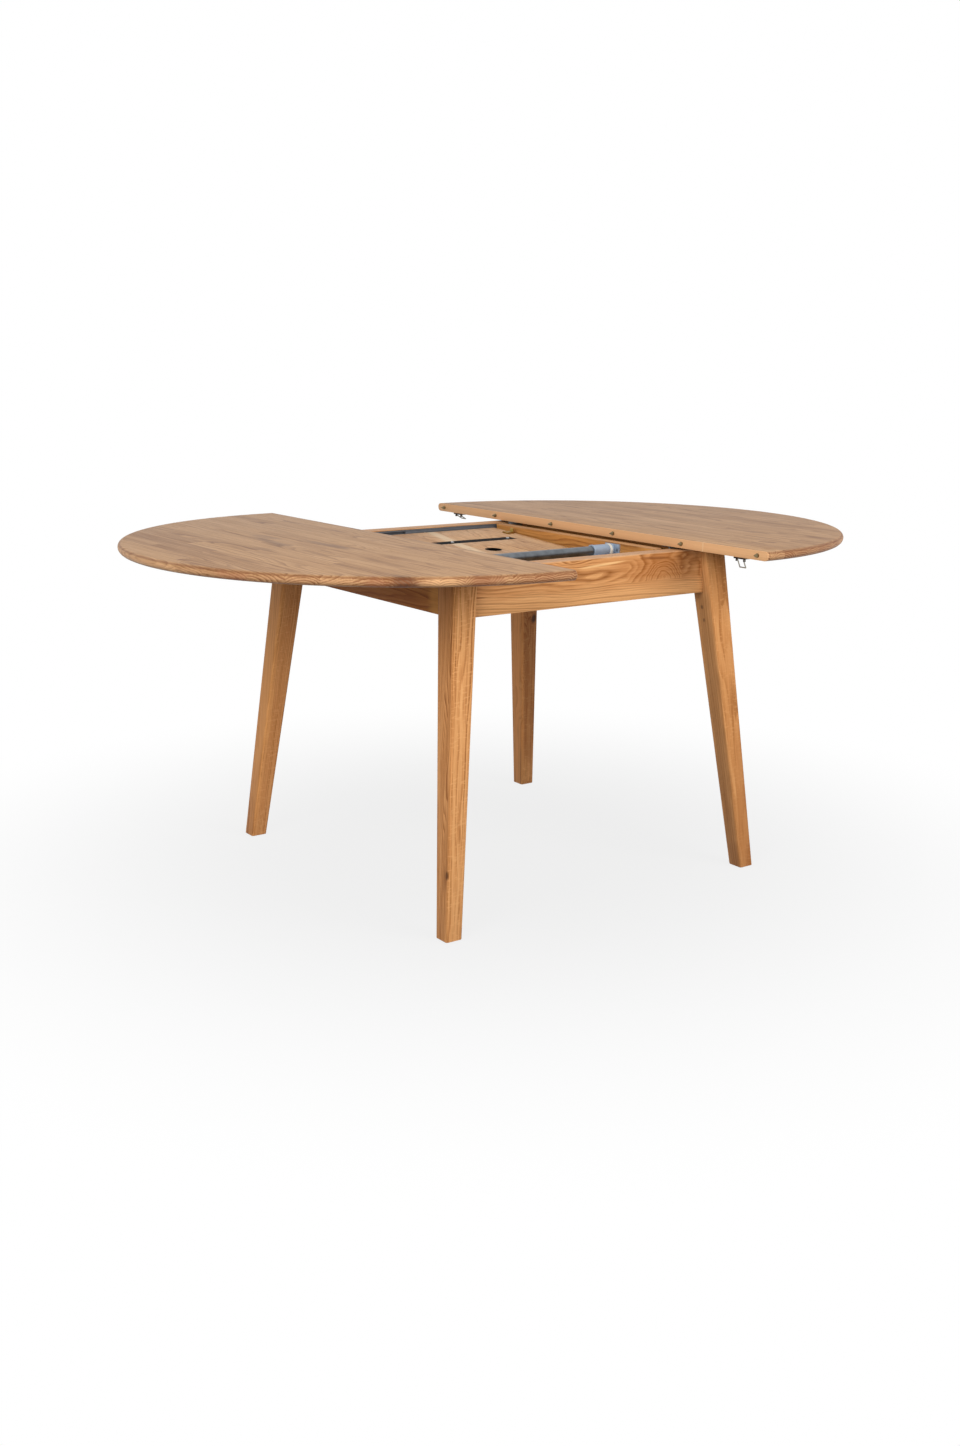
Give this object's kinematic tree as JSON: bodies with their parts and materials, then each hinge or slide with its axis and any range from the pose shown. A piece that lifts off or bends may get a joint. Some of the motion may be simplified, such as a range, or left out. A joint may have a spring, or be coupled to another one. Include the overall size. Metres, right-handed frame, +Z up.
{
  "type": "draw leaf table",
  "caption": "Round oak dining table with a split top that slides apart on steel bars, and a folding leaf that swings up on a tube and unfolds in the gap.",
  "frame": {"origin": "on the floor, below the middle of the table", "axes": "+X along the slides, towards the half with the pins; +Y along the straight edges of the halves, away from the pivot tube; +Z up"},
  "size_m": [1.7002, 1.2002, 0.755],
  "materials": {
    "oak_top": "oiled",
    "oak_leaf": "oiled",
    "oak_legs": "oiled",
    "oak_frame": "oiled",
    "dark_steel": "satin",
    "bar_steel": "satin",
    "bracket_steel": "satin",
    "tube_steel": "satin",
    "saddle_steel": "satin",
    "black_steel": "matte",
    "zinc_steel": "bright",
    "pin_steel": "satin",
    "brass": "satin",
    "black_plastic": "matte",
    "nylon": "matte"
  },
  "bodies": {
    "frame": {"apron_far": "oak_frame", "apron_near": "oak_frame", "channel_screws": "zinc_steel", "corner_brackets": "bracket_steel", "cross_rail_left": "oak_frame", "cross_rail_right": "oak_frame", "end_apron_left": "oak_frame", "end_apron_right": "oak_frame", "foot_glides": "nylon", "guide_channel_far": "dark_steel", "guide_channel_near": "dark_steel", "leaf_stops": "oak_frame", "leg_bolts": "zinc_steel", "leg_far_left": "oak_legs", "leg_far_right": "oak_legs", "leg_near_left": "oak_legs", "leg_near_right": "oak_legs", "leg_nuts": "zinc_steel", "pivot_sockets": "bracket_steel", "pivot_tube": "tube_steel", "pivot_washers": "nylon", "slide_cleats": "oak_frame", "socket_screws": "zinc_steel", "top_glides": "nylon"},
    "left_half": {"bar_stop_screws_left": "zinc_steel", "brace_channels_left": "black_steel", "brace_screws_left": "zinc_steel", "bracket_screws_left": "zinc_steel", "clip_keepers_left": "brass", "slide_bars_left": "bar_steel", "slide_brackets_left": "bracket_steel", "top_half_left": "oak_top"},
    "right_half": {"alignment_pins": "pin_steel", "bar_stop_screws_right": "zinc_steel", "brace_channels_right": "black_steel", "brace_screws_right": "zinc_steel", "bracket_screws_right": "zinc_steel", "clip_plates": "bracket_steel", "clip_screws": "zinc_steel", "slide_bars_right": "bar_steel", "slide_brackets_right": "bracket_steel", "top_half_right": "oak_top"},
    "leaf_swing": {"finger_cup": "black_plastic", "leaf_brace_screws_swing": "zinc_steel", "leaf_brace_swing": "black_steel", "leaf_hinge_pins": "brass", "leaf_hinge_plates_swing": "brass", "leaf_keeper_swing": "brass", "leaf_panel_swing": "oak_leaf", "leaf_pins_swing": "pin_steel", "leaf_saddles": "saddle_steel", "saddle_screws": "zinc_steel"},
    "leaf_flap": {"leaf_brace_flap": "black_steel", "leaf_brace_screws_flap": "zinc_steel", "leaf_hinge_plates_flap": "brass", "leaf_keeper_flap": "brass", "leaf_panel_flap": "oak_leaf", "leaf_pins_flap": "pin_steel"},
    "bail_near": {"clip_bail_near": "zinc_steel"},
    "bail_far": {"clip_bail_far": "zinc_steel"}
  },
  "joints": [
    {"name": "left_half_slide", "type": "slide", "parent": "frame", "child": "left_half", "axis": [-1, 0, 0], "range_m": [-0.25, 0]},
    {"name": "right_half_slide", "type": "slide", "parent": "frame", "child": "right_half", "axis": [1, 0, 0], "range_m": [-0.25, 0]},
    {"name": "leaf_swing", "type": "hinge", "parent": "frame", "child": "leaf_swing", "pos_m": [0, -0.155, 0.71525], "axis": [1, 0, 0], "range_deg": [0, 176.5]},
    {"name": "leaf_fold", "type": "hinge", "parent": "leaf_swing", "child": "leaf_flap", "pos_m": [0, -0.30728, 0.66596], "axis": [-1, 0, 0], "range_deg": [0, 65]},
    {"name": "bail_near_swing", "type": "hinge", "parent": "right_half", "child": "bail_near", "pos_m": [0.258, -0.515, 0.729], "axis": [0, 1, 0], "range_deg": [-55, 110]},
    {"name": "bail_far_swing", "type": "hinge", "parent": "right_half", "child": "bail_far", "pos_m": [0.258, 0.515, 0.729], "axis": [0, 1, 0], "range_deg": [-20, 145]}
  ]
}
